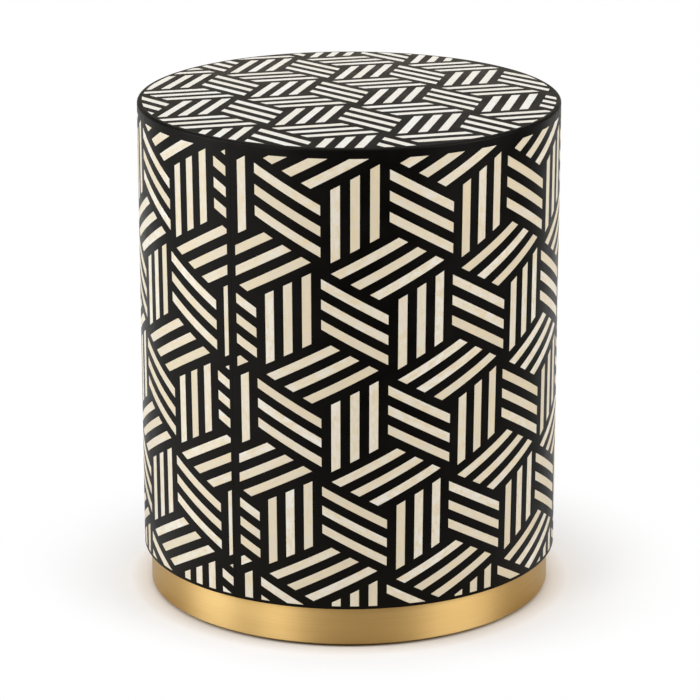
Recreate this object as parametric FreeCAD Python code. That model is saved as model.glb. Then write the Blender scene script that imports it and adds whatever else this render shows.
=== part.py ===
"""Drum stool: a bent plywood drum, inlaid with bone strips in black resin, on a plinth with a brass band.

Millimetres, +Z up. The origin is on the floor at the drum's axis, and the front is towards -Y.
"""
import FreeCAD, Part
import math
import os

from FreeCAD import Base, Vector

# Overall sizes
body_diameter = 380.0
body_height = 417.0
plinth_height = 36.0
plinth_setback = 6.2
glide_thickness = 2.0

# Boards and hoops
wall_thickness = 9.0
board_thickness = 18.0
hoop_thickness = 18.0
hoop_width = 28.0
middle_hoop_lift = 200.0
batten_thickness = 8.0
batten_width = 60.0
plinth_ring_width = 40.0
glue_gap = 0.3
joint_gap = 0.2

# Inlay: the resin and the strips are one thickness
inlay_thickness = 2.5
arris_radius = 1.5
rim_border = 4.5
band_under_rim = 8.9
band_over_foot = 2.8
seam_angle = 32.3
seam_band = 8.8

# Tumbling blocks: each rhombus is cut into equal bands, and every second band is bone
bands_per_tile = 7
side_tile_half_width = 57.65
side_tile_rise = 31.4
side_upright = 62.7
side_start_from_seam = 24.6
side_start_below_top = 74.3
top_tile_edge = 61.0
top_turn = -15.3
top_start = (-11.9, -87.2)
least_strip_area = 12.0
least_strip_width = 1.2
least_edge = 0.3

# Brass band and its pins
brass_thickness = 1.0
pin_radius = 0.7
pin_length = 10.0
pin_head_radius = 1.6
pin_head_height = 0.7
pin_from_seam = 6.0
pin_from_edge = 9.0

# Wood screws
screw_count = 6
screw_radius = 2.2
screw_head_radius = 4.2
screw_head_height = 3.2
screw_point = 5.0
screw_bite = 12.0
screw_clearance = 0.1
recess_length = 4.4
recess_width = 1.0
recess_depth = 1.6
plinth_counterbore_radius = 6.0
plinth_counterbore_depth = 8.0

# Nylon glides
glide_count = 6
glide_radius = 12.0
glide_edge_round = 0.5

# Levels and radii that follow from the sizes above
body_radius = body_diameter / 2
plinth_top = glide_thickness + plinth_height
body_top = plinth_top + body_height
panel_top = body_top - inlay_thickness
inlay_inner_radius = body_radius - inlay_thickness
wall_radius = inlay_inner_radius - glue_gap
board_radius = wall_radius - wall_thickness - glue_gap
hoop_inner_radius = board_radius - hoop_width
upper_hoop_base = panel_top - board_thickness - hoop_thickness
middle_hoop_base = plinth_top + middle_hoop_lift
bottom_panel_top = plinth_top + board_thickness
plinth_radius = body_radius - plinth_setback
ring_radius = plinth_radius - brass_thickness - glue_gap
ring_inner_radius = ring_radius - plinth_ring_width
ring_middle_radius = (ring_radius + ring_inner_radius) / 2
hoop_middle_radius = (board_radius + hoop_inner_radius) / 2
girth = 2 * math.pi * body_radius

# Turns about +Z, in degrees, that bring a piece built at +X to its place
FRONT = -90.0
BACK = 90.0
SEAM = FRONT - seam_angle


def add(a, b, share=1.0):
    """Point a moved along vector b."""
    return (a[0] + share * b[0], a[1] + share * b[1])


def minus(a):
    """Vector a turned round."""
    return (-a[0], -a[1])


def polar(length, degrees):
    """Plane vector of a length at an angle."""
    return (length * math.cos(math.radians(degrees)), length * math.sin(math.radians(degrees)))


def area(points):
    """Signed area of a polygon, positive where its points run anticlockwise."""
    pairs = zip(points, points[1:] + points[:1])
    return sum(a[0] * b[1] - b[0] * a[1] for a, b in pairs) / 2


def spun(shape, degrees):
    """Shape turned about the drum's axis."""
    shape.rotate(Vector(0, 0, 0), Vector(0, 0, 1), degrees)
    return shape


def ring(outer, inner, base, height):
    """Flat ring about the drum's axis."""
    disc = Part.makeCylinder(outer, height, Vector(0, 0, base))
    return disc.cut(Part.makeCylinder(inner, height, Vector(0, 0, base)))


# Tumbling-block pattern in a plane
def tile_strips(corner, edge_a, edge_b, edge_c):
    """Strips of the three rhombi that meet at a corner: kind and four anticlockwise points each."""
    tiles = (
        ("upright", minus(edge_a), edge_c),
        ("falling", edge_c, edge_b),
        ("rising", edge_b, minus(edge_a)),
    )
    for kind, across, along in tiles:
        for band in range(1, bands_per_tile - 1, 2):
            near = add(corner, across, band / bands_per_tile)
            far = add(corner, across, (band + 1) / bands_per_tile)
            points = [near, far, add(far, along), add(near, along)]
            if area(points) < 0:
                points.reverse()
            yield kind, points


def pattern_strips(start, edge_a, edge_b, edge_c, low, high):
    """Strips of the pattern that reach into the box from low to high."""
    step_i = add(edge_a, edge_b)
    step_j = add(edge_a, edge_c)
    reach = max(math.dist(start, low), math.dist(start, high), math.dist(low, high))
    count = int(reach / min(math.hypot(*step_i), math.hypot(*step_j))) + 3
    for i in range(-count, count + 1):
        for j in range(-count, count + 1):
            corner = add(add(start, step_i, i), step_j, j)
            for kind, points in tile_strips(corner, edge_a, edge_b, edge_c):
                spans = [(min(p[k] for p in points), max(p[k] for p in points)) for k in (0, 1)]
                if all(near < high[k] and far > low[k] for k, (near, far) in enumerate(spans)):
                    yield kind, points


def clip(points, axis, limit, side):
    """Part of a polygon on one side of a line along an axis."""
    kept = []
    for a, b in zip(points, points[1:] + points[:1]):
        from_a = side * (a[axis] - limit)
        from_b = side * (b[axis] - limit)
        if from_a >= 0:
            kept.append(a)
        if from_a * from_b < 0:
            kept.append(add(a, add(b, a, -1.0), from_a / (from_a - from_b)))
    return kept


def clip_to_box(points, low, high):
    """Part of a polygon inside a box, without edges too short to cut."""
    for axis in (0, 1):
        points = clip(points, axis, low[axis], 1)
        points = clip(points, axis, high[axis], -1)
    return [p for p, before in zip(points, points[-1:] + points[:-1]) if math.dist(p, before) > least_edge]


# Pieces bent round the drum, drawn as (arc length on the body, height)
def wrapped(outline, holes, outer_radius, inner_radius):
    """Solid between two cylinders, from an anticlockwise outline with anticlockwise holes."""
    faces = []
    loops = []
    for radius in (outer_radius, inner_radius):
        cylinder = Part.Cylinder()
        cylinder.Radius = radius
        rims = []
        for points in [outline] + [hole[::-1] for hole in holes]:
            corners = [Base.Vector2d(p[0] / body_radius, p[1]) for p in points]
            sides = zip(corners, corners[1:] + corners[:1])
            rims.append([Part.Geom2d.Line2dSegment(a, b).toShape(cylinder) for a, b in sides])
        face = Part.Face(Part.Wire(rims[0]))
        if holes:
            face.cutHoles([Part.Wire(rim) for rim in rims[1:]])
        faces.append(face)
        loops.append([edge for rim in rims for edge in rim])
    faces += [Part.makeRuledSurface(a, b) for a, b in zip(*loops)]
    shell = Part.makeShell(faces)
    shell.sewShape()
    solid = Part.Solid(shell.Shells[0])
    if solid.Volume < 0:
        solid.reverse()
    return solid


def box_outline(low, high):
    """Anticlockwise corners of a box in the plane."""
    return [low, (high[0], low[1]), high, (low[0], high[1])]


def split_hoop(outer_radius, inner_radius, base, top, gap, turn):
    """Sheet bent to a full turn, whose two ends meet with a gap at an angle."""
    half_gap = gap / 2 * body_radius / outer_radius
    outline = box_outline((half_gap, base), (girth - half_gap, top))
    return spun(wrapped(outline, [], outer_radius, inner_radius), turn)


# Inlay
def is_wide(strip_area, longest_edge):
    """Whether a strip cut off at a border is still worth inlaying."""
    return strip_area > max(least_strip_area, least_strip_width * longest_edge)


def side_inlay():
    """Resin ground round the side with its pockets, and the strips by kind."""
    low = (seam_band / 2, plinth_top + band_over_foot)
    high = (girth - seam_band / 2, body_top - band_under_rim)
    start = (side_start_from_seam, body_top - side_start_below_top)
    edge_a = (side_tile_half_width, side_tile_rise)
    edge_b = (side_tile_half_width, -side_tile_rise)
    edge_c = (0.0, side_upright)
    strips = {"upright": [], "falling": [], "rising": []}
    pockets = []
    for kind, points in pattern_strips(start, edge_a, edge_b, edge_c, low, high):
        points = clip_to_box(points, low, high)
        longest = max((math.dist(a, b) for a, b in zip(points, points[1:] + points[:1])), default=0.0)
        if not is_wide(area(points), longest):
            continue
        pockets.append(points)
        strips[kind].append(spun(wrapped(points, [], body_radius, inlay_inner_radius), SEAM))
    outline = box_outline((joint_gap / 2, plinth_top), (girth - joint_gap / 2, panel_top))
    ground = spun(wrapped(outline, pockets, body_radius, inlay_inner_radius), SEAM)
    return ground, strips


def top_inlay():
    """Resin ground on the top with its pockets and softened arris, and the strips by kind."""
    reach = body_radius - rim_border
    field = Part.Face(Part.Wire(Part.makeCircle(reach, Vector(0, 0, panel_top))))
    edges = [polar(top_tile_edge, degrees + top_turn) for degrees in (30.0, -30.0, 90.0)]
    strips = {"upright": [], "falling": [], "rising": []}
    pockets = []
    for kind, points in pattern_strips(top_start, *edges, (-reach, -reach), (reach, reach)):
        corners = [Vector(*p, panel_top) for p in points]
        face = Part.Face(Part.makePolygon(corners + corners[:1]))
        if max(math.hypot(*p) for p in points) > reach:
            face = face.common(field)
        for piece in face.Faces:
            if is_wide(piece.Area, max(edge.Length for edge in piece.Edges)):
                pockets.append(piece.OuterWire)
                strips[kind].append(piece.extrude(Vector(0, 0, inlay_thickness)))
    rim = Part.Wire(Part.makeCircle(body_radius, Vector(0, 0, panel_top)))
    ground = Part.Face([rim] + pockets, "Part::FaceMakerBullseye").extrude(Vector(0, 0, inlay_thickness))
    ground = ground.Solids[0]
    arris = [e for e in ground.Edges if isinstance(e.Curve, Part.Circle)
             and e.Curve.Radius > reach + least_edge and e.BoundBox.ZMin > panel_top + inlay_thickness / 2]
    return ground.makeFillet(min(arris_radius, inlay_thickness - least_edge), arris), strips


# Fasteners
def screw_body(length, grow):
    """Countersunk screw about +Z, head at the origin and point upwards, grown all round for its hole."""
    head = screw_head_radius + grow
    shank = screw_radius + grow
    outline = [
        Vector(0, 0, 0),
        Vector(head, 0, 0),
        Vector(shank, 0, screw_head_height),
        Vector(shank, 0, length - screw_point),
        Vector(0, 0, length + grow),
    ]
    face = Part.Face(Part.makePolygon(outline + outline[:1]))
    return face.revolve(Vector(0, 0, 0), Vector(0, 0, 1), 360)


def screw(length):
    """Screw with a cross recess in its head."""
    body = screw_body(length, 0.0)
    for size in ((recess_length, recess_width), (recess_width, recess_length)):
        corner = Vector(-size[0] / 2, -size[1] / 2, 0)
        body = body.cut(Part.makeBox(*size, recess_depth, corner))
    return body


def around(shape, count, radius, height, first_angle):
    """Copies of a shape, evenly spaced on a circle about the drum's axis."""
    copies = []
    for i in range(count):
        copy = shape.copy()
        copy.translate(Vector(*polar(radius, first_angle + 360.0 * i / count), height))
        copies.append(copy)
    return copies


def band_pin(grow):
    """Round-headed pin along +X, head at the origin and point inwards, grown for its hole."""
    shank = Part.makeCylinder(pin_radius + grow, pin_length, Vector(0, 0, 0), Vector(-1, 0, 0))
    if grow:
        return shank
    head_sphere = (pin_head_radius ** 2 + pin_head_height ** 2) / (2 * pin_head_height)
    head = Part.makeSphere(head_sphere, Vector(pin_head_height - head_sphere, 0, 0))
    width = 2 * head_sphere
    front = Part.makeBox(width, width, width, Vector(0, -head_sphere, -head_sphere))
    return head.common(front).fuse(shank).removeSplitter()


def pins(grow):
    """Pins on both sides of the band's joint at the back."""
    pin_turn = math.degrees(pin_from_seam / plinth_radius)
    made = []
    for turn in (-pin_turn, pin_turn):
        for height in (glide_thickness + pin_from_edge, plinth_top - pin_from_edge):
            pin = band_pin(grow)
            pin.translate(Vector(plinth_radius, 0, height))
            made.append(spun(pin, BACK + turn))
    return made


# Carcass
def seam_battens():
    """Bent battens behind the wall's joint, below and above the middle hoop."""
    half = batten_width / 2
    spans = (
        (bottom_panel_top, middle_hoop_base),
        (middle_hoop_base + hoop_thickness, upper_hoop_base),
    )
    outlines = [box_outline((girth / 2 - half, base), (girth / 2 + half, top)) for base, top in spans]
    return [spun(wrapped(line, [], board_radius, board_radius - batten_thickness), SEAM + 180.0)
            for line in outlines]


def floor_glide():
    """Nylon glide with a rounded lower edge."""
    glide = Part.makeCylinder(glide_radius, glide_thickness)
    lower = [e for e in glide.Edges
             if isinstance(e.Curve, Part.Circle) and e.BoundBox.ZMax < glide_thickness / 2]
    return glide.makeFillet(min(glide_edge_round, glide_thickness / 2), lower)


def build():
    """All pieces by name."""
    plinth_screw_base = glide_thickness + plinth_counterbore_depth
    plinth_screw_length = plinth_height - plinth_counterbore_depth + screw_bite
    hoop_screw_length = hoop_thickness + screw_bite
    glide_angle = FRONT + 180.0 / glide_count

    plinth_holes = around(screw_body(plinth_screw_length, screw_clearance), screw_count, ring_middle_radius,
                          plinth_screw_base, FRONT)
    counterbore = Part.makeCylinder(plinth_counterbore_radius, plinth_counterbore_depth)
    counterbores = around(counterbore, screw_count, ring_middle_radius, glide_thickness, FRONT)
    hoop_holes = around(screw_body(hoop_screw_length, screw_clearance), screw_count, hoop_middle_radius,
                        upper_hoop_base, FRONT)
    pin_holes = pins(screw_clearance)

    side_ground, side_strips = side_inlay()
    top_ground, top_strips = top_inlay()
    top_panel = Part.makeCylinder(board_radius, board_thickness, Vector(0, 0, panel_top - board_thickness))
    bottom_panel = Part.makeCylinder(board_radius, board_thickness, Vector(0, 0, plinth_top))
    upper_hoop = ring(board_radius, hoop_inner_radius, upper_hoop_base, hoop_thickness)
    plinth_ring = ring(ring_radius, ring_inner_radius, glide_thickness, plinth_height)
    band = split_hoop(plinth_radius, plinth_radius - brass_thickness, glide_thickness, plinth_top, joint_gap,
                      BACK)
    wall = split_hoop(wall_radius, wall_radius - wall_thickness, plinth_top, panel_top, joint_gap, SEAM)
    hoop_screws = around(screw(hoop_screw_length), screw_count, hoop_middle_radius, upper_hoop_base, FRONT)
    plinth_screws = around(screw(plinth_screw_length), screw_count, ring_middle_radius, plinth_screw_base, FRONT)

    return {
        "top_ground": top_ground,
        "top_bone_steep": top_strips["upright"],
        "top_bone_falling": top_strips["falling"],
        "top_bone_rising": top_strips["rising"],
        "side_ground": side_ground,
        "side_bone_upright": side_strips["upright"],
        "side_bone_falling": side_strips["falling"],
        "side_bone_rising": side_strips["rising"],
        "drum_wall": wall,
        "seam_battens": seam_battens(),
        "top_panel": top_panel.cut(hoop_holes),
        "upper_hoop": upper_hoop.cut(hoop_holes),
        "hoop_screws": hoop_screws,
        "middle_hoop": ring(board_radius, hoop_inner_radius, middle_hoop_base, hoop_thickness),
        "bottom_panel": bottom_panel.cut(plinth_holes),
        "plinth_ring": plinth_ring.cut(plinth_holes + counterbores + pin_holes),
        "plinth_screws": plinth_screws,
        "plinth_band": band.cut(pin_holes),
        "band_pins": pins(0.0),
        "floor_glides": around(floor_glide(), glide_count, ring_middle_radius, 0.0, glide_angle),
    }


os.makedirs("parts", exist_ok=True)
for name, made in build().items():
    shape = Part.makeCompound(made) if isinstance(made, list) else made
    shape.exportStep(f"parts/{name}.step")
    print(name, len(shape.Solids), "solids", "valid" if shape.isValid() else "NOT VALID", round(shape.Volume))
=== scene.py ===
import math
import random

import bpy
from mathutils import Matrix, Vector
from mathutils.geometry import delaunay_2d_cdt

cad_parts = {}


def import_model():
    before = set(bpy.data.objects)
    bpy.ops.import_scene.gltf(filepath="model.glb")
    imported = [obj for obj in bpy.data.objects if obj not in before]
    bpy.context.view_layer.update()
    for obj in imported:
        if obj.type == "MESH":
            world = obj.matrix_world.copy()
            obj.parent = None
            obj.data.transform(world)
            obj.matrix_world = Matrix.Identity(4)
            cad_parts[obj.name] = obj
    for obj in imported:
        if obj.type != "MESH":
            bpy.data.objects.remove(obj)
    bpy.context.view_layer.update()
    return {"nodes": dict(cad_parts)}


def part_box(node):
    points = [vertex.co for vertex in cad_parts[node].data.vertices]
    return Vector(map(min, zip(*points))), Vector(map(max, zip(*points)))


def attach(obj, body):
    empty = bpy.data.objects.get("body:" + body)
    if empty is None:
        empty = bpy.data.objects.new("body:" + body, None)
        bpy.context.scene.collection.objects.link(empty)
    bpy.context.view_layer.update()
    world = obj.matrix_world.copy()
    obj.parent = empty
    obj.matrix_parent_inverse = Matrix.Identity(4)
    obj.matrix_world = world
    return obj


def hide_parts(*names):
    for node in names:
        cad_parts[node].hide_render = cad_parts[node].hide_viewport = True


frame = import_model()

# The inlay and the band are drawn in millimetres, and every mesh is in metres
MM = 0.001
BODY = "root"


def radii(node):
    """Smallest and largest distance of a node's points from the drum's axis, in millimetres."""
    reach = [math.hypot(v.co.x, v.co.y) / MM for v in frame["nodes"][node].data.vertices]
    return min(reach), max(reach)


def heights(node):
    """Lowest and highest level of a node, in millimetres."""
    low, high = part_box(node)
    return low.z / MM, high.z / MM


# Sizes read from the frame
INLAY_INNER_RADIUS, BODY_RADIUS = radii("side_ground")
FOOT, PANEL_TOP = heights("side_ground")
TOP = heights("top_ground")[1]
BAND_INNER_RADIUS, BAND_RADIUS = radii("plinth_band")
BAND_FOOT, BAND_TOP = heights("plinth_band")
GIRTH = 2 * math.pi * BODY_RADIUS
INLAY_THICKNESS = BODY_RADIUS - INLAY_INNER_RADIUS

# Inlay pattern: the part's lattice, laid a little askew and unevenly by hand as in the photograph
BANDS_PER_TILE = 7
SPARE_TILES = 3
SIDE_TILE_HALF_WIDTH = 57.65
SIDE_TILE_RISE = 31.4
SIDE_UPRIGHT = 62.7
SIDE_START_FROM_SEAM = 25.6
SIDE_START_BELOW_TOP = 75.5
SIDE_ROW_TILT = 1.05
SIDE_GROWTH = 0.00012
SIDE_STRETCH = 0.0054
TOP_TILE_EDGE = 60.5
TOP_EDGE_TURNS = (30.0, -30.0, 90.0)
TOP_TURN = -15.3
TOP_START = (-11.8, -88.1)
TOP_GROWTH = 0.00043
RIM_BORDER = 4.5
ARRIS_RADIUS = 2.2
BAND_UNDER_RIM = 8.9
BAND_OVER_FOOT = 2.8
SEAM_BAND = 8.8
SEAM_ANGLE = 32.3
SEAM_SHIFT_TOP = -0.9
SEAM_SHIFT_FOOT = 3.3
JOINT_GAP = 0.2
LEAST_STRIP_WIDTH = 1.2
STRIP_TRIM = 0.2
FRONT = math.radians(-90.0)
BACK = math.radians(90.0)
SEAM = FRONT - math.radians(SEAM_ANGLE)
KINDS = ("upright", "falling", "rising")

# Finish of the inlay: the resin has shrunk a little below the bone, and the bone's edges are eased
RESIN_SINK = 0.1
EDGE_EASE = 0.25
COLUMNS = 180
RIM_POINTS = 360
ARRIS_STEPS = 5
CUT_TOLERANCE = 0.002
PARALLEL = 1e-6
STRIP_SEED = 7
STRIP_GRAIN_STEP = 3.7


def add(a, b, share=1.0):
    """Point a moved along vector b."""
    return (a[0] + share * b[0], a[1] + share * b[1])


def minus(a):
    """Vector a turned round."""
    return (-a[0], -a[1])


def polar(length, angle):
    """Plane vector of a length at an angle in radians."""
    return (length * math.cos(angle), length * math.sin(angle))


def sides(points):
    """Each side of a closed polygon as its two ends."""
    return list(zip(points, points[1:] + points[:1]))


def area(points):
    """Signed area of a polygon, positive where its points run anticlockwise."""
    return sum(a[0] * b[1] - b[0] * a[1] for a, b in sides(points)) / 2


def box_outline(low, high):
    """Anticlockwise corners of a box in the plane."""
    return [low, (high[0], low[1]), high, (low[0], high[1])]


def clip(points, normal, limit):
    """Part of a polygon where the product with the normal stays under the limit."""
    kept = []
    for a, b in sides(points):
        over_a = a[0] * normal[0] + a[1] * normal[1] - limit
        over_b = b[0] * normal[0] + b[1] * normal[1] - limit
        if over_a <= 0:
            kept.append(a)
        if over_a * over_b < 0:
            kept.append(add(a, add(b, a, -1.0), over_a / (over_a - over_b)))
    return kept


def clip_to(points, outline):
    """Part of a polygon inside a convex anticlockwise outline."""
    for a, b in sides(outline):
        normal = (b[1] - a[1], a[0] - b[0])
        points = clip(points, normal, a[0] * normal[0] + a[1] * normal[1])
        if len(points) < 3:
            return []
    return [p for p, before in zip(points, points[-1:] + points[:-1]) if math.dist(p, before) > EDGE_EASE]


def inset(points, distance):
    """Convex anticlockwise polygon drawn in by a distance, or nothing where it is too narrow."""
    lines = []
    for a, b in sides(points):
        length = math.dist(a, b)
        inward = ((a[1] - b[1]) / length, (b[0] - a[0]) / length)
        lines.append((add(a, inward, distance), ((b[0] - a[0]) / length, (b[1] - a[1]) / length)))
    made = []
    for (p, d), (q, e) in zip(lines[-1:] + lines[:-1], lines):
        cross = d[0] * e[1] - d[1] * e[0]
        if abs(cross) < PARALLEL:
            made.append(q)
            continue
        along = ((q[0] - p[0]) * e[1] - (q[1] - p[1]) * e[0]) / cross
        made.append(add(p, d, along))
    for (a, b), (c, d) in zip(sides(points), sides(made)):
        if (b[0] - a[0]) * (d[0] - c[0]) + (b[1] - a[1]) * (d[1] - c[1]) <= 0:
            return []
    return made


def tile_strips(corner, edge_a, edge_b, edge_c):
    """Strips of the three rhombi that meet at a corner: kind, anticlockwise points and the way they run."""
    tiles = zip(KINDS, (minus(edge_a), edge_c, edge_b), (edge_c, edge_b, minus(edge_a)))
    for kind, across, along in tiles:
        for band in range(1, BANDS_PER_TILE - 1, 2):
            near = add(corner, across, band / BANDS_PER_TILE)
            far = add(corner, across, (band + 1) / BANDS_PER_TILE)
            points = [near, far, add(far, along), add(near, along)]
            if area(points) < 0:
                points.reverse()
            yield kind, points, along


def laid_on_side(point):
    """Point of the side pattern where it is laid: rows a little askew, and tiles larger towards the top."""
    sideways = BODY_RADIUS * math.sin(point[0] / BODY_RADIUS - math.radians(SEAM_ANGLE))
    lift = point[1] - (FOOT + TOP) / 2
    rise = SIDE_GROWTH * lift ** 2 - sideways * math.tan(math.radians(SIDE_ROW_TILT))
    return add(point, ((SIDE_GROWTH * lift + SIDE_STRETCH) * sideways, rise))


def laid_on_top(point):
    """Point of the top pattern where it is laid: tiles a little larger towards the front."""
    share = 1.0 - TOP_GROWTH * point[1]
    return (point[0] * share, point[1] * share)


def pattern_strips(start, edges, outline, lay):
    """Strips of the pattern, each point laid in its place, cut off at a convex outline."""
    edge_a, edge_b, edge_c = edges
    step_i = add(edge_a, edge_b)
    step_j = add(edge_a, edge_c)
    reach = max(math.dist(start, p) for p in outline) * 2
    count = int(reach / min(math.hypot(*step_i), math.hypot(*step_j))) + SPARE_TILES
    low = [min(p[k] for p in outline) for k in (0, 1)]
    high = [max(p[k] for p in outline) for k in (0, 1)]
    for i in range(-count, count + 1):
        for j in range(-count, count + 1):
            corner = add(add(start, step_i, i), step_j, j)
            for kind, points, along in tile_strips(corner, edge_a, edge_b, edge_c):
                points = inset([lay(p) for p in points], STRIP_TRIM)
                spans = [(min(p[k] for p in points), max(p[k] for p in points)) for k in (0, 1)]
                if any(far < low[k] or near > high[k] for k, (near, far) in enumerate(spans)):
                    continue
                points = clip_to(points, outline)
                if len(points) < 3:
                    continue
                if area(points) / max(math.dist(a, b) for a, b in sides(points)) > LEAST_STRIP_WIDTH:
                    yield kind, points, along


def cut_plane(loops, lines):
    """Plane cut by closed loops and open lines: its points, its triangles, and the loops around each one."""
    points = [p for loop in loops for p in loop] + [p for line in lines for p in line]
    faces = []
    start = 0
    for loop in loops:
        faces.append(list(range(start, start + len(loop))))
        start += len(loop)
    edges = [(start + 2 * k, start + 2 * k + 1) for k in range(len(lines))]
    inside_only = 1
    cut = delaunay_2d_cdt([Vector(p) for p in points], edges, faces, inside_only, CUT_TOLERANCE)
    return [tuple(p) for p in cut[0]], cut[2], [set(loop_ids) for loop_ids in cut[5]]


class Plates:
    """One mesh under construction, made of closed plates."""

    def __init__(self):
        self.vertices = []
        self.faces = []
        self.normals = []
        self.grain = []
        self.tone = []

    def plate(self, points, triangles, depth, place, normal, is_smooth, grain, tone=0.0):
        """Plate with its face at a depth for each point, and its back one inlay thickness deep."""
        used = sorted({i for triangle in triangles for i in triangle})
        first = len(self.vertices)
        front = {i: first + k for k, i in enumerate(used)}
        back = {i: first + len(used) + k for k, i in enumerate(used)}
        self.vertices += [place(points[i], depth[i]) for i in used]
        self.vertices += [place(points[i], INLAY_THICKNESS) for i in used]
        self.grain += [grain(points[i]) for i in used] * 2
        self.tone += [tone] * (2 * len(used))
        steps = {(a, b) for t in triangles for a, b in sides(list(t))}
        for t in triangles:
            self.faces.append([front[i] for i in t])
            self.normals.append([normal(points[i]) for i in t] if is_smooth(t) else None)
            self.faces.append([back[i] for i in reversed(t)])
            self.normals.append(None)
        for a, b in steps:
            if (b, a) not in steps:
                self.faces.append([front[a], back[a], back[b], front[b]])
                self.normals.append(None)

    def finish(self, name, node, slot, surface):
        """Object of the plates, in place of its node."""
        mesh = bpy.data.meshes.new(name)
        mesh.from_pydata(self.vertices, [], self.faces)
        set_normals(mesh, self.normals)
        set_grain(mesh, self.grain)
        mesh.attributes.new("tone", "FLOAT", "POINT").data.foreach_set("value", self.tone)
        dressed(name, mesh, node, surface)


def set_normals(mesh, normals):
    """Corner normals: those given for a face, or else the face's own."""
    mesh.polygons.foreach_set("use_smooth", [True] * len(mesh.polygons))
    corners = []
    for polygon, given in zip(mesh.polygons, normals):
        corners += given or [polygon.normal.copy()] * polygon.loop_total
    mesh.normals_split_custom_set(corners)


def set_grain(mesh, grain):
    """Grain coordinates of each point, for the materials."""
    layer = mesh.attributes.new("grain", "FLOAT_VECTOR", "POINT")
    layer.data.foreach_set("vector", [x for value in grain for x in value])


def dressed(name, mesh, node, surface):
    """New piece that stands for a node and takes a material."""
    piece = bpy.data.objects.new(name, mesh)
    bpy.context.scene.collection.objects.link(piece)
    mesh.materials.append(surface)
    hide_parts(node)
    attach(piece, BODY)


# Shader building
class Shader:
    """A node material with a few short ways to add nodes."""

    def __init__(self, name):
        self.material = bpy.data.materials.new(name)
        self.material.use_nodes = True
        self.tree = self.material.node_tree
        self.bsdf = self.tree.nodes["Principled BSDF"]

    @classmethod
    def of_tree(cls, tree):
        """The same short ways for a node tree that exists."""
        made = cls.__new__(cls)
        made.tree = tree
        return made

    def node(self, kind, inputs=None, **settings):
        """New node with its settings and inputs, each input a value or another node's output."""
        made = self.tree.nodes.new(kind)
        for key, value in settings.items():
            setattr(made, key, value)
        for key, value in (inputs or {}).items():
            self.put(made.inputs[key], value)
        return made

    def put(self, socket, value):
        """A value or a link into a socket."""
        if isinstance(value, bpy.types.NodeSocket):
            self.tree.links.new(value, socket)
        else:
            socket.default_value = value

    def surface(self, **inputs):
        """Values or links on the surface shader's own sockets."""
        for key, value in inputs.items():
            self.put(self.bsdf.inputs[key.replace("_", " ")], value)

    def show(self, shader):
        """A shader as the material's surface, in place of the one that it starts with."""
        self.tree.links.new(shader, self.tree.nodes["Material Output"].inputs["Surface"])

    def attribute(self, name, output):
        """A value stored on the mesh."""
        return self.node("ShaderNodeAttribute", attribute_name=name).outputs[output]

    def position(self):
        """Place in the part's own frame, in metres."""
        return self.node("ShaderNodeTexCoord").outputs["Object"]

    def vector(self, operation, a, b=None, output=0):
        """Product, length or another operation on vectors."""
        inputs = {0: a} if b is None else {0: a, 1: b}
        return self.node("ShaderNodeVectorMath", inputs, operation=operation).outputs[output]

    def level(self, vector, axis):
        """One part of a vector."""
        return self.node("ShaderNodeSeparateXYZ", {0: vector}).outputs[axis]

    def noise(self, vector, scale, detail, roughness):
        """Noise value about one half, with one scale, or drawn out by a scale for each axis."""
        if isinstance(scale, tuple):
            vector = self.vector("MULTIPLY", vector, scale)
            scale = 1.0
        inputs = {"Vector": vector, "Scale": scale, "Detail": detail, "Roughness": roughness}
        return self.node("ShaderNodeTexNoise", inputs).outputs["Fac"]

    def ramp(self, value, low, high, to_low, to_high, **settings):
        """A value carried from one range to another, and held at its ends."""
        inputs = {"Value": value, "From Min": low, "From Max": high, "To Min": to_low, "To Max": to_high}
        return self.node("ShaderNodeMapRange", inputs, **settings).outputs["Result"]

    def share(self, value, low, high, most=1.0):
        """A share that grows from none at the low end of a value to the most at its high end."""
        return self.ramp(value, low, high, 0.0, most)

    def maths(self, operation, a, b):
        """Sum, product or another operation on two values."""
        return self.node("ShaderNodeMath", {0: a, 1: b}, operation=operation).outputs[0]

    def colour(self, factor, a, b):
        """Two colours mixed by a factor."""
        mix = self.node("ShaderNodeMix", {"Factor": factor}, data_type="RGBA")
        self.put(mix.inputs[6], a)
        self.put(mix.inputs[7], b)
        return mix.outputs[2]

    def bump(self, height, distance, strength):
        """Normal tilted by a height, whose full range is a distance in metres."""
        inputs = {"Height": height, "Distance": distance, "Strength": strength}
        return self.node("ShaderNodeBump", inputs).outputs[0]


# Bone, with its noise scales along a strip, across it, and from strip to strip
SIDE_BONE_WARM = (0.69, 0.585, 0.42, 1)
SIDE_BONE_PALE = (0.85, 0.80, 0.70, 1)
SIDE_BONE_STAIN = (0.76, 0.615, 0.385, 1)
# The top's bone colours are paler and whiter than the side's: painted light, for the top's brighter lighting
TOP_BONE_WARM = (0.82, 0.79, 0.72, 1)
TOP_BONE_PALE = (0.90, 0.905, 0.89, 1)
TOP_BONE_STAIN = (0.84, 0.795, 0.70, 1)
BONE_FIBRE = (0.58, 0.46, 0.31, 1)
BONE_PORE = (0.45, 0.35, 0.23, 1)
BONE_FIBRE_SCALE = (0.05, 1.1, 1.0)
BONE_PORE_SCALE = (0.25, 3.2, 1.0)
BONE_CLOUD_SCALE = (0.04, 0.09, 1.0)
BONE_MOTTLE_SCALE = (0.13, 0.22, 1.7)
BONE_RELIEF = 0.00002


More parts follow.
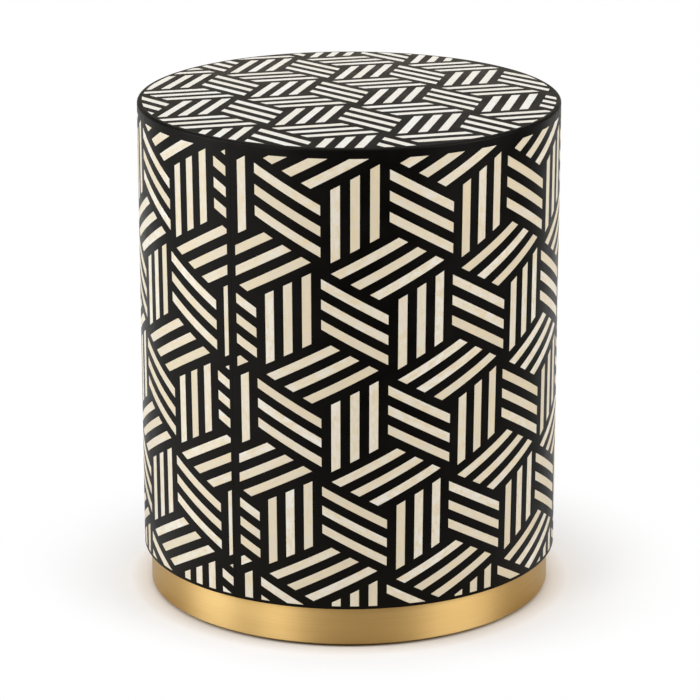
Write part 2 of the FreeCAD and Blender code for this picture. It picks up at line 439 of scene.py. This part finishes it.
def bone(name, warm, pale, stain):
    """Polished bone: cream, a little different from strip to strip, mottled, with faint fibres and pores."""
    s = Shader(name)
    grain = s.attribute("grain", "Vector")
    tone = s.attribute("tone", "Fac")
    fibres = s.noise(grain, BONE_FIBRE_SCALE, detail=4.0, roughness=0.6)
    pores = s.noise(grain, BONE_PORE_SCALE, detail=2.0, roughness=0.5)
    cloud = s.noise(grain, BONE_CLOUD_SCALE, detail=2.0, roughness=0.5)
    mottle = s.noise(grain, BONE_MOTTLE_SCALE, detail=3.0, roughness=0.55)
    base = s.colour(tone, warm, pale)
    base = s.colour(s.share(cloud, 0.35, 0.65, most=0.4), base, stain)
    base = s.colour(s.share(mottle, 0.44, 0.66, most=0.9), base, stain)
    base = s.colour(s.share(fibres, 0.4, 0.78, most=0.35), base, BONE_FIBRE)
    base = s.colour(s.share(pores, 0.62, 0.74, most=0.25), base, BONE_PORE)
    s.surface(Base_Color=base, Specular_IOR_Level=0.45, Roughness=s.ramp(fibres, 0.3, 0.7, 0.30, 0.42),
              Normal=s.bump(s.maths("ADD", fibres, pores), BONE_RELIEF, strength=0.35))
    return s.material


# Resin
RESIN_DARK = (0.0012, 0.0010, 0.0008, 1)
RESIN_LIGHT = (0.0026, 0.0021, 0.0016, 1)
RESIN_SHEEN = (1.0, 0.92, 0.78, 1)
RESIN_CLOUD_SCALE = 38.0
RESIN_SCRATCH_SCALE = (900.0, 900.0, 90.0)
RESIN_SCRATCH_WEAR = 0.4
RESIN_SCRATCH_DEPTH = 0.15
RESIN_RELIEF = 0.00006


def resin():
    """Black cast resin, sanded and waxed to a satin gloss with faint clouding and fine scratches."""
    s = Shader("resin")
    place = s.position()
    cloud = s.noise(place, RESIN_CLOUD_SCALE, detail=3.0, roughness=0.55)
    scratches = s.noise(place, RESIN_SCRATCH_SCALE, detail=2.0, roughness=0.6)
    base = s.colour(s.share(cloud, 0.35, 0.7), RESIN_DARK, RESIN_LIGHT)
    worn = s.maths("ADD", cloud, s.maths("MULTIPLY", scratches, RESIN_SCRATCH_WEAR))
    relief = s.maths("ADD", cloud, s.maths("MULTIPLY", scratches, RESIN_SCRATCH_DEPTH))
    s.surface(Base_Color=base, Specular_IOR_Level=0.115, Specular_Tint=RESIN_SHEEN,
              Roughness=s.ramp(worn, 0.5, 0.9, 0.34, 0.46),
              Normal=s.bump(relief, RESIN_RELIEF, strength=0.25))
    return s.material


# Brass, with its noise scales along the brushing and across it
BRASS_DARK = (0.77, 0.52, 0.195, 1)
BRASS_LIGHT = (0.87, 0.61, 0.265, 1)
BRASS_STREAK = (0.70, 0.455, 0.155, 1)
BRASS_TARNISH = (0.72, 0.46, 0.16, 1)
BRASS_LINE_SCALE = (0.012, 7.0, 1.0)
BRASS_FINE_SCALE = (0.06, 22.0, 1.0)
BRASS_STREAK_SCALE = (0.008, 0.9, 1.0)
BRASS_CLOUD_SCALE = (0.012, 0.05, 1.0)
BRASS_LINE_SHARE = 0.65
BRASS_FINE_SHARE = 0.35
BRASS_RELIEF = 0.00004


def brass(name, grain_of):
    """Satin brass, brushed along its grain, with a faint warm tarnish."""
    s = Shader(name)
    grain = grain_of(s)
    lines = s.noise(grain, BRASS_LINE_SCALE, detail=5.0, roughness=0.7)
    fine = s.noise(grain, BRASS_FINE_SCALE, detail=2.0, roughness=0.6)
    streaks = s.noise(grain, BRASS_STREAK_SCALE, detail=3.0, roughness=0.6)
    cloud = s.noise(grain, BRASS_CLOUD_SCALE, detail=3.0, roughness=0.5)
    brushed = s.maths("ADD", s.maths("MULTIPLY", lines, BRASS_LINE_SHARE),
                      s.maths("MULTIPLY", fine, BRASS_FINE_SHARE))
    base = s.colour(s.share(brushed, 0.35, 0.65), BRASS_DARK, BRASS_LIGHT)
    base = s.colour(s.share(streaks, 0.35, 0.7, most=0.35), base, BRASS_STREAK)
    base = s.colour(s.share(cloud, 0.4, 0.75, most=0.3), base, BRASS_TARNISH)
    s.surface(Base_Color=base, Metallic=1.0, Roughness=s.ramp(brushed, 0.3, 0.7, 0.45, 0.55),
              Anisotropic=0.8, Anisotropic_Rotation=0.25, Normal=s.bump(brushed, BRASS_RELIEF, strength=0.3),
              Tangent=s.node("ShaderNodeTangent", direction_type="RADIAL", axis="Z").outputs[0])
    return s.material


# Plywood, whose sealed edge is given by levels over the drum's foot, in metres
PLYWOOD_DARK = (0.46, 0.31, 0.17, 1)
PLYWOOD_LIGHT = (0.70, 0.54, 0.35, 1)
PLYWOOD_SEALER = (0.012, 0.011, 0.010, 1)
PLYWOOD_SEALED = 0.0006
PLYWOOD_BARE = 0.0010
PLYWOOD_GRAIN_SCALE = (9.0, 9.0, 260.0)
PLYWOOD_RELIEF = 0.0002


def plywood():
    """Birch plywood with its grain round the drum, sealed black on the lower edge."""
    s = Shader("plywood")
    place = s.position()
    grain = s.noise(place, PLYWOOD_GRAIN_SCALE, detail=4.0, roughness=0.6)
    base = s.colour(s.share(grain, 0.3, 0.7), PLYWOOD_DARK, PLYWOOD_LIGHT)
    foot = FOOT * MM
    sealed = s.ramp(s.level(place, "Z"), foot + PLYWOOD_SEALED, foot + PLYWOOD_BARE, 1.0, 0.0)
    s.surface(Base_Color=s.colour(sealed, base, PLYWOOD_SEALER), Roughness=s.ramp(grain, 0.3, 0.7, 0.5, 0.7),
              Normal=s.bump(grain, PLYWOOD_RELIEF, strength=0.3))
    return s.material


# Fibreboard
BOARD_DARK = (0.013, 0.012, 0.011, 1)
BOARD_LIGHT = (0.030, 0.026, 0.023, 1)
BOARD_FIBRE = (0.075, 0.058, 0.042, 1)
BOARD_FIBRE_SCALE = 420.0
BOARD_STROKE_SCALE = (14.0, 160.0, 60.0)
BOARD_RELIEF = 0.0001


def board():
    """Fibreboard sealed with a thin black stain, its fibres showing through."""
    s = Shader("board")
    place = s.position()
    fibres = s.noise(place, BOARD_FIBRE_SCALE, detail=4.0, roughness=0.65)
    strokes = s.noise(place, BOARD_STROKE_SCALE, detail=3.0, roughness=0.55)
    base = s.colour(s.share(strokes, 0.3, 0.72), BOARD_DARK, BOARD_LIGHT)
    base = s.colour(s.share(fibres, 0.6, 0.8, most=0.5), base, BOARD_FIBRE)
    s.surface(Base_Color=base, Roughness=s.ramp(fibres, 0.3, 0.7, 0.6, 0.8),
              Normal=s.bump(fibres, BOARD_RELIEF, strength=0.4))
    return s.material


# Steel of the screws
STEEL_DARK = (0.50, 0.49, 0.46, 1)
STEEL_LIGHT = (0.68, 0.67, 0.64, 1)
STEEL_BLOOM_SCALE = 900.0


def steel():
    """Zinc-plated steel with a slightly mottled bloom."""
    s = Shader("steel")
    bloom = s.noise(s.position(), STEEL_BLOOM_SCALE, detail=3.0, roughness=0.55)
    base = s.colour(s.share(bloom, 0.35, 0.7), STEEL_DARK, STEEL_LIGHT)
    s.surface(Base_Color=base, Metallic=1.0, Roughness=s.ramp(bloom, 0.3, 0.7, 0.26, 0.42))
    return s.material


# Plastic of the glides
GLIDE_DARK = (0.018, 0.018, 0.019, 1)
GLIDE_SCUFF = (0.05, 0.05, 0.05, 1)
GLIDE_GRAIN_SCALE = 1400.0
GLIDE_SCUFF_SCALE = (260.0, 60.0, 60.0)
GLIDE_RELIEF = 0.00004


def glide_plastic():
    """Moulded dark plastic with scuffs."""
    s = Shader("glide_plastic")
    place = s.position()
    grain = s.noise(place, GLIDE_GRAIN_SCALE, detail=3.0, roughness=0.6)
    scuffs = s.noise(place, GLIDE_SCUFF_SCALE, detail=2.0, roughness=0.5)
    base = s.colour(s.share(scuffs, 0.55, 0.75), GLIDE_DARK, GLIDE_SCUFF)
    s.surface(Base_Color=base, Roughness=s.ramp(scuffs, 0.3, 0.7, 0.45, 0.65),
              Normal=s.bump(grain, GLIDE_RELIEF, strength=0.3))
    return s.material


# Inlay on the side, drawn flat as (arc length from the seam, height)
def side_place(point, depth):
    """Point of the unrolled side, sunk below the body's face."""
    x, y = polar(BODY_RADIUS - depth, SEAM + point[0] / BODY_RADIUS)
    return Vector((x, y, point[1])) * MM


def side_normal(point):
    """Outward direction at a point of the unrolled side."""
    return Vector((*polar(1.0, SEAM + point[0] / BODY_RADIUS), 0.0))


def strip_grain(along, number):
    """Grain coordinates of a strip: along it, across it and a number of its own."""
    length = math.hypot(*along)
    way = (along[0] / length, along[1] / length)
    own = STRIP_GRAIN_STEP * number
    return lambda p: (p[0] * way[0] + p[1] * way[1], p[1] * way[0] - p[0] * way[1], own)


def lay_inlay(part, strips, border, lines, ground_depth, place, normal, surfaces, nodes):
    """Resin ground and bone strips of the side or the top, cut from one plane so that they fit exactly."""
    chance = random.Random(STRIP_SEED)
    outlines = [points for _, points, _ in strips]
    insets = [inset(points, EDGE_EASE) for points in outlines]
    loops = border + outlines + [points for points in insets if points]
    points, triangles, around = cut_plane(loops, lines)
    first_strip = len(border)
    first_inset = first_strip + len(strips)
    eased = {k: first_inset + sum(bool(p) for p in insets[:k]) for k in range(len(strips))}
    by_strip = {k: [] for k in range(len(strips))}
    ground = []
    for triangle, ids in zip(triangles, around):
        inside = [i - first_strip for i in ids if first_strip <= i < first_inset]
        if inside:
            by_strip[inside[0]].append((triangle, ids))
        else:
            ground.append(triangle)
    resin_plates = Plates()
    depth = [ground_depth(p) for p in points]
    resin_plates.plate(points, ground, depth, place, normal, lambda t: True, lambda p: (*p, 0.0))
    resin_plates.finish(f"{part}_resin", nodes["ground"], "black_resin", surfaces["resin"])
    plates = {kind: Plates() for kind in KINDS}
    for k, (kind, _, along) in enumerate(strips):
        mine = [t for t, _ in by_strip[k]]
        raised = {i for t, ids in by_strip[k] if not insets[k] or eased[k] in ids for i in t}
        depth = {i: 0.0 if i in raised and insets[k] else RESIN_SINK for t in mine for i in t}
        plates[kind].plate(points, mine, depth, place, normal,
                           lambda t, d=depth: len({d[i] for i in t}) == 1,
                           strip_grain(along, k), chance.random())
    for kind in KINDS:
        plates[kind].finish(f"{part}_bone_{kind}", nodes[kind], "bone", surfaces["bone"])


def side_inlay(surfaces):
    """Inlay round the drum, whose plain band at the seam leans a little."""
    first = SEAM_BAND / 2
    last = GIRTH - SEAM_BAND / 2
    low = FOOT + BAND_OVER_FOOT
    high = TOP - BAND_UNDER_RIM
    outline = [(first + SEAM_SHIFT_FOOT, low), (last + SEAM_SHIFT_FOOT, low),
               (last + SEAM_SHIFT_TOP, high), (first + SEAM_SHIFT_TOP, high)]
    start = (SIDE_START_FROM_SEAM, TOP - SIDE_START_BELOW_TOP)
    edges = ((SIDE_TILE_HALF_WIDTH, SIDE_TILE_RISE),
             (SIDE_TILE_HALF_WIDTH, -SIDE_TILE_RISE),
             (0.0, SIDE_UPRIGHT))
    strips = list(pattern_strips(start, edges, outline, laid_on_side))
    border = box_outline((JOINT_GAP / 2, FOOT), (GIRTH - JOINT_GAP / 2, PANEL_TOP))
    columns = [((GIRTH * k / COLUMNS, FOOT), (GIRTH * k / COLUMNS, PANEL_TOP)) for k in range(1, COLUMNS)]
    nodes = {kind: f"side_bone_{kind}" for kind in KINDS}
    nodes["ground"] = "side_ground"
    lay_inlay("side", strips, [border], columns, lambda p: RESIN_SINK, side_place, side_normal,
              surfaces, nodes)


# Inlay on the top, drawn as seen from above
def circle(radius):
    """Points of a circle about the drum's axis."""
    return [polar(radius, 2 * math.pi * k / RIM_POINTS) for k in range(RIM_POINTS)]


def arris_start():
    """Radius at which the top begins to round over."""
    return BODY_RADIUS - RESIN_SINK - ARRIS_RADIUS


def arris_depth(point):
    """How far the resin lies below the top, with its rounded arris."""
    over = min(max(math.hypot(*point) - arris_start(), 0.0), ARRIS_RADIUS)
    return RESIN_SINK + ARRIS_RADIUS - math.sqrt(ARRIS_RADIUS ** 2 - over ** 2)


def top_place(point, depth):
    """Point of the top, sunk below it."""
    return Vector((*point, TOP - depth)) * MM


def top_normal(point):
    """Outward direction at a point of the top, turning over at the arris."""
    reach = math.hypot(*point)
    over = min(max((reach - arris_start()) / ARRIS_RADIUS, 0.0), 1.0)
    if not over:
        return Vector((0.0, 0.0, 1.0))
    return Vector((point[0] / reach * over, point[1] / reach * over, math.sqrt(1.0 - over ** 2)))


def top_inlay(surfaces):
    """Inlay on the top, inside a plain rim with a softened arris."""
    edges = [polar(TOP_TILE_EDGE, math.radians(TOP_TURN) + math.radians(turn)) for turn in TOP_EDGE_TURNS]
    strips = list(pattern_strips(TOP_START, edges, circle(BODY_RADIUS - RIM_BORDER), laid_on_top))
    turns = [math.pi / 2 * k / ARRIS_STEPS for k in range(ARRIS_STEPS, -1, -1)]
    border = [circle(arris_start() + ARRIS_RADIUS * math.sin(t)) for t in turns]
    nodes = {"ground": "top_ground", "upright": "top_bone_steep", "falling": "top_bone_falling",
             "rising": "top_bone_rising"}
    lay_inlay("top", strips, border, [], arris_depth, top_place, top_normal, surfaces, nodes)


# Brass band round the plinth
BAND_EASE = 0.2
BAND_FOOT_ROUND = 0.9
BAND_STEPS = 360


def plinth_band(surface):
    """Bent brass strip with eased edges, open by the joint's gap at the back."""
    slant = math.sqrt(0.5)
    profile = [
        ((BAND_RADIUS - BAND_FOOT_ROUND, BAND_FOOT), (slant, -slant)),
        ((BAND_RADIUS, BAND_FOOT + BAND_FOOT_ROUND), (1.0, 0.0)),
        ((BAND_RADIUS, BAND_TOP - BAND_EASE), (slant, slant)),
        ((BAND_RADIUS - BAND_EASE, BAND_TOP), (0.0, 1.0)),
        ((BAND_INNER_RADIUS, BAND_TOP), (-1.0, 0.0)),
        ((BAND_INNER_RADIUS, BAND_FOOT), (0.0, -1.0)),
    ]
    half_gap = JOINT_GAP / 2 / BAND_RADIUS
    sweep = 2 * math.pi - 2 * half_gap
    turns = [BACK + half_gap + sweep * k / BAND_STEPS for k in range(BAND_STEPS + 1)]
    count = len(profile)
    vertices = [Vector((*polar(r, turn), z)) * MM for turn in turns for (r, z), _ in profile]
    grain = [(turn * BAND_RADIUS, z + r, 0.0) for turn in turns for (r, z), _ in profile]
    faces = []
    normals = []
    for k in range(BAND_STEPS):
        for p, (_, (out, up)) in enumerate(profile):
            q = (p + 1) % count
            faces.append([k * count + p, (k + 1) * count + p, (k + 1) * count + q, k * count + q])
            normals.append([Vector((*polar(out, turns[i]), up)) for i in (k, k + 1, k + 1, k)])
    faces += [list(range(count)), [BAND_STEPS * count + p for p in reversed(range(count))]]
    normals += [None, None]
    mesh = bpy.data.meshes.new("brass_band")
    mesh.from_pydata(vertices, [], faces)
    set_normals(mesh, normals)
    set_grain(mesh, grain)
    dressed("brass_band", mesh, "plinth_band", surface)


# Pieces that keep their own solids
SMOOTH_ANGLE = math.radians(30.0)


def dress_nodes(materials):
    """Finish for the pieces that keep their own solids."""
    for node, surface in materials.items():
        data = frame["nodes"][node].data
        data.materials.clear()
        data.materials.append(surface)
        data.polygons.foreach_set("use_smooth", [True] * len(data.polygons))
        data.set_sharp_from_angle(angle=SMOOTH_ANGLE)


# Camera at the photograph's place, from the outline fitted in the 700 pixel frame
FRAME_PIXELS = 700.0
FOCAL_PIXELS = 3420.8
AXIS_PIXEL = 349.08
CAMERA_DISTANCE = 2.991
CAMERA_HEIGHT = 1.161
CAMERA_PITCH = 17.51
CAMERA_REACH = 50.0
SENSOR = 36.0


def camera():
    """Long lens, in front and a little above."""
    data = bpy.data.cameras.new("camera")
    data.sensor_width = SENSOR
    data.lens = SENSOR * FOCAL_PIXELS / FRAME_PIXELS
    data.shift_x = (FRAME_PIXELS / 2 - AXIS_PIXEL) / FRAME_PIXELS
    data.clip_end = CAMERA_REACH
    view = bpy.data.objects.new("camera", data)
    view.location = (0.0, -CAMERA_DISTANCE, CAMERA_HEIGHT)
    view.rotation_euler = (math.radians(90.0 - CAMERA_PITCH), 0.0, 0.0)
    bpy.context.scene.collection.objects.link(view)
    bpy.context.scene.camera = view


# Floor, in metres: what the camera sees, and the painted shades at the plinth's edge
FLOOR_SIZE = 14.0
FLOOR_SEEN = (0.945, 0.932, 0.922, 1)
# Painted shade under the plinth's edge, lighter at the sides as painted light, and a painted contact shadow
# just outside it
PAINTED_UNDER_SHADE = (0.24, 0.15, 0.07, 1)
PAINTED_UNDER_LIGHT = (0.80, 0.64, 0.44, 1)
UNDER_INNER_START = -0.030
UNDER_INNER_END = -0.015
UNDER_START = -0.0025
UNDER_END = 0.0012
PAINTED_CONTACT_SHADE = (0.78, 0.74, 0.70, 1)
CONTACT_REACH = 0.020
FADE_START = 0.19
FADE_END = 0.34

# Floor near the stool as light bounces from it, and as reflections show it: painted reflections, warm in
# front of the brass, pale behind it, and with a painted shade near the foot
FLOOR_BOUNCE = (0.45, 0.45, 0.45, 1)
FLOOR_MIRRORED = (0.45, 0.345, 0.205, 1)
MIRRORED_BEHIND = (0.85, 0.85, 0.88, 1)
MIRRORED_FOOT = (0.06, 0.04, 0.02, 1)
MIRRORED_FOOT_REACH = 0.045
MIRRORED_FOOT_SHARE = 0.5

# Floor further out, as reflections show it: a painted reflection of glowing white paper, painted dark in
# front of the stool, to its right and far out
PAPER_EDGE = (-0.8, 1.0, 0.0)
PAPER_START = -0.9
PAPER_WHITE = -0.1
PAPER_END = 1.8
DARK_REFLECTION_START = 2.8
PAINTED_DARK_REFLECTION = 0.06
SIDE_PAPER = 1.0
GAP_PAPER = 0.5

# Directions on the floor, from -1 in front of the stool through 0 beside it to 1 behind it
BESIDE_END = -0.05
GAP_START = 0.25
GAP_END = 0.45
BEHIND_START = 0.7
WARM_END = -0.45
PALE_START = 0.05
FOOT_DARK_END = -0.75
FOOT_LIGHT_START = -0.35

# Direction on the floor, from 0 in front of the stool or behind it to 1 beside it
UNDER_LIT_START = 0.77


def sheet(name, corners, surface):
    """Flat four-sided piece for the stage."""
    mesh = bpy.data.meshes.new(name)
    mesh.from_pydata(corners, [], [(0, 1, 2, 3)])
    mesh.materials.append(surface)
    piece = bpy.data.objects.new(name, mesh)
    bpy.context.scene.collection.objects.link(piece)
    return piece


def floor():
    """Pale floor that keeps the shadow near the stool and turns plain white further out, as paper does.

    It has a painted shade under the plinth's edge, lighter at the sides as painted light, and a painted
    contact shadow close to it. In reflections it shows painted reflections: warm in front of the brass and
    pale behind it, with a painted shade by the foot in front; there it glows as white paper, painted dark in
    front of the stool and to its right, and dimmer between the paper beside the stool and that behind it.
    """
    s = Shader("floor")
    place = s.position()
    flat = s.vector("MULTIPLY", place, (1.0, 1.0, 0.0))
    distance = s.vector("LENGTH", flat, output="Value")
    way = s.vector("NORMALIZE", flat)
    behind = s.level(way, "Y")
    sideways = s.level(s.vector("ABSOLUTE", way), "X")
    ahead = s.vector("DOT_PRODUCT", place, PAPER_EDGE, output="Value")
    rays = s.node("ShaderNodeLightPath").outputs
    seen = rays["Is Camera Ray"]
    mirrored = s.maths("MAXIMUM", rays["Is Glossy Ray"], rays["Is Transmission Ray"])
    edge = BAND_RADIUS * MM
    # Painted shade under the plinth's edge and painted light at its sides, then a painted contact shadow,
    # all seen only by the camera
    under = s.share(distance, edge + UNDER_START, edge + UNDER_END)
    near = s.share(distance, edge + UNDER_END, edge + CONTACT_REACH)
    below = s.colour(s.share(sideways, 0.0, UNDER_LIT_START), PAINTED_UNDER_SHADE, PAINTED_UNDER_LIGHT)
    below = s.colour(s.share(distance, edge + UNDER_INNER_START, edge + UNDER_INNER_END), FLOOR_SEEN, below)
    seen_base = s.colour(under, below, s.colour(near, PAINTED_CONTACT_SHADE, FLOOR_SEEN))
    # Painted reflections: a painted shade near the foot in front, warm in front of the brass and pale behind
    # it
    foot = s.ramp(distance, edge, edge + MIRRORED_FOOT_REACH, MIRRORED_FOOT_SHARE, 0.0)
    foot = s.maths("MULTIPLY", foot, s.ramp(behind, FOOT_DARK_END, FOOT_LIGHT_START, 1.0, 0.0))
    mirrored_base = s.colour(s.share(behind, WARM_END, PALE_START), FLOOR_MIRRORED, MIRRORED_BEHIND)
    mirrored_base = s.colour(foot, mirrored_base, MIRRORED_FOOT)
    unseen_base = s.colour(mirrored, FLOOR_BOUNCE, mirrored_base)
    s.surface(Base_Color=s.colour(seen, unseen_base, seen_base), Roughness=0.9, Specular_IOR_Level=0.0)
    # Painted reflection: the floor glows as paper in reflections, dimmer in the gap, and painted dark in
    # front, to the right and far out
    beside = s.ramp(behind, BESIDE_END, GAP_START, SIDE_PAPER, GAP_PAPER)
    paper = s.maths("ADD", beside, s.share(behind, GAP_END, BEHIND_START, most=1.0 - GAP_PAPER))
    paper = s.maths("MULTIPLY", paper, s.ramp(ahead, PAPER_START, PAPER_WHITE, PAINTED_DARK_REFLECTION, 1.0))
    paper = s.maths("MULTIPLY", paper, s.ramp(distance, PAPER_END, DARK_REFLECTION_START, 1.0, PAINTED_DARK_REFLECTION))
    white = s.node("ShaderNodeEmission", {"Strength": s.maths("MAXIMUM", seen, paper)}).outputs[0]
    fade = s.ramp(distance, FADE_START, FADE_END, 0.0, 1.0, interpolation_type="SMOOTHSTEP")
    share = s.maths("MULTIPLY", fade, s.maths("MAXIMUM", seen, mirrored))
    s.show(s.node("ShaderNodeMixShader", {0: share, 1: s.bsdf.outputs[0], 2: white}).outputs[0])
    half = FLOOR_SIZE / 2
    outline = box_outline((-half, -half), (half, half))
    plane = sheet("floor", [(x, y, 0.0) for x, y in outline], s.material)


# Surroundings, by the way a ray goes: from in front of the stool to behind it
WHITE = (1, 1, 1, 1)
AMBIENT_FRONT = 0.40
AMBIENT_BACK = 0.52
MIRRORED_BACK = 0.05
FRONT_END = -0.2
BACK_START = 0.9


def world():
    """White surroundings: behind the stool brighter as a light, like a backdrop, but dark in reflections."""
    made = bpy.data.worlds.new("studio")
    made.use_nodes = True
    s = Shader.of_tree(made.node_tree)
    way = s.level(s.node("ShaderNodeTexCoord").outputs["Generated"], "Y")
    lit = s.ramp(way, FRONT_END, BACK_START, AMBIENT_FRONT, AMBIENT_BACK)
    mirrored = s.ramp(way, FRONT_END, BACK_START, AMBIENT_FRONT, MIRRORED_BACK)
    rays = s.node("ShaderNodeLightPath").outputs
    light = s.ramp(rays["Is Glossy Ray"], 0.0, 1.0, lit, mirrored)
    background = s.tree.nodes["Background"]
    s.put(background.inputs["Strength"], s.ramp(rays["Is Camera Ray"], 0.0, 1.0, light, 1.0))
    s.put(background.inputs["Color"], WHITE)
    bpy.context.scene.world = made


# Card behind the stool, in metres: a glowing sheet for a painted reflection
CARD_WIDTH = 2.6
CARD_LOW = 0.44
CARD_HIGH = 0.56
CARD_BEHIND = 0.36
CARD_STRENGTH = 0.73
CARD_COLOUR = (1.0, 0.92, 0.78, 1)


def reflector_card():
    """Glowing paper close behind the stool, a painted reflection which shows only in its reflections."""
    s = Shader("reflector_card")
    s.show(s.node("ShaderNodeEmission", {"Color": CARD_COLOUR, "Strength": CARD_STRENGTH}).outputs[0])
    half = CARD_WIDTH / 2
    outline = box_outline((-half, CARD_LOW), (half, CARD_HIGH))
    card = sheet("reflector_card", [(x, CARD_BEHIND, z) for x, z in outline], s.material)
    card.visible_camera = False
    card.visible_diffuse = False
    card.visible_shadow = False
    card.visible_transmission = False


# Lamps, in degrees, metres and watts: name, turn from the camera, distance, height, width, power and colour
TALL_BOXES = (
    ("left_box", -79.0, 2.0, 0.75, 1.0, 18.5, (0.92, 1.0, 1.12)),
    ("left_fill", -39.0, 2.1, 0.85, 0.75, 15.3, (0.96, 1.0, 1.06)),
    ("right_box", 63.0, 2.0, 0.85, 1.6, 25.0, (0.97, 1.0, 1.05)),
)
TALL_BOX_LENGTH = 1.4
TOP_BOX_PLACE = (0.0, 0.2, 2.2)
TOP_BOX_WIDTH = 2.4
TOP_BOX_POWER = 27.0
TOP_BOX_COLOUR = (1.0, 1.0, 1.0)
LAMP_AIM = (0.0, 0.0, 0.25)


def softbox(name, place, width, length, power, colour):
    """Large soft lamp turned towards the stool."""
    data = bpy.data.lights.new(name, "AREA")
    data.shape = "RECTANGLE"
    data.size = width
    data.size_y = length
    data.energy = power
    data.color = colour
    lamp = bpy.data.objects.new(name, data)
    lamp.location = place
    lamp.rotation_mode = "QUATERNION"
    lamp.rotation_quaternion = (Vector(LAMP_AIM) - Vector(place)).to_track_quat("-Z", "Y")
    bpy.context.scene.collection.objects.link(lamp)


def studio():
    """Tall softboxes round the front, and a wide one overhead."""
    for name, turn, distance, height, width, power, colour in TALL_BOXES:
        x, y = polar(distance, FRONT + math.radians(turn))
        softbox(name, (x, y, height), width, TALL_BOX_LENGTH, power, colour)
    softbox("top_box", TOP_BOX_PLACE, TOP_BOX_WIDTH, TOP_BOX_WIDTH, TOP_BOX_POWER, TOP_BOX_COLOUR)


bpy.context.scene.view_settings.view_transform = "Standard"
resin_surface = resin()
side_bone = bone("side_bone", SIDE_BONE_WARM, SIDE_BONE_PALE, SIDE_BONE_STAIN)
# Top bone with paler, whiter colours as painted light
top_bone = bone("top_bone", TOP_BONE_WARM, TOP_BONE_PALE, TOP_BONE_STAIN)
side_inlay({"bone": side_bone, "resin": resin_surface})
top_inlay({"bone": top_bone, "resin": resin_surface})
plinth_band(brass("band_brass", lambda s: s.attribute("grain", "Vector")))
plywood_surface = plywood()
board_surface = board()
steel_surface = steel()
dress_nodes({
    "drum_wall": plywood_surface,
    "seam_battens": plywood_surface,
    "upper_hoop": plywood_surface,
    "middle_hoop": plywood_surface,
    "top_panel": board_surface,
    "bottom_panel": board_surface,
    "plinth_ring": board_surface,
    "hoop_screws": steel_surface,
    "plinth_screws": steel_surface,
    "band_pins": brass("pin_brass", lambda s: s.vector("MULTIPLY", s.position(), (1 / MM, 1 / MM, 1 / MM))),
    "floor_glides": glide_plastic(),
})
camera()
floor()
world()
reflector_card()
studio()
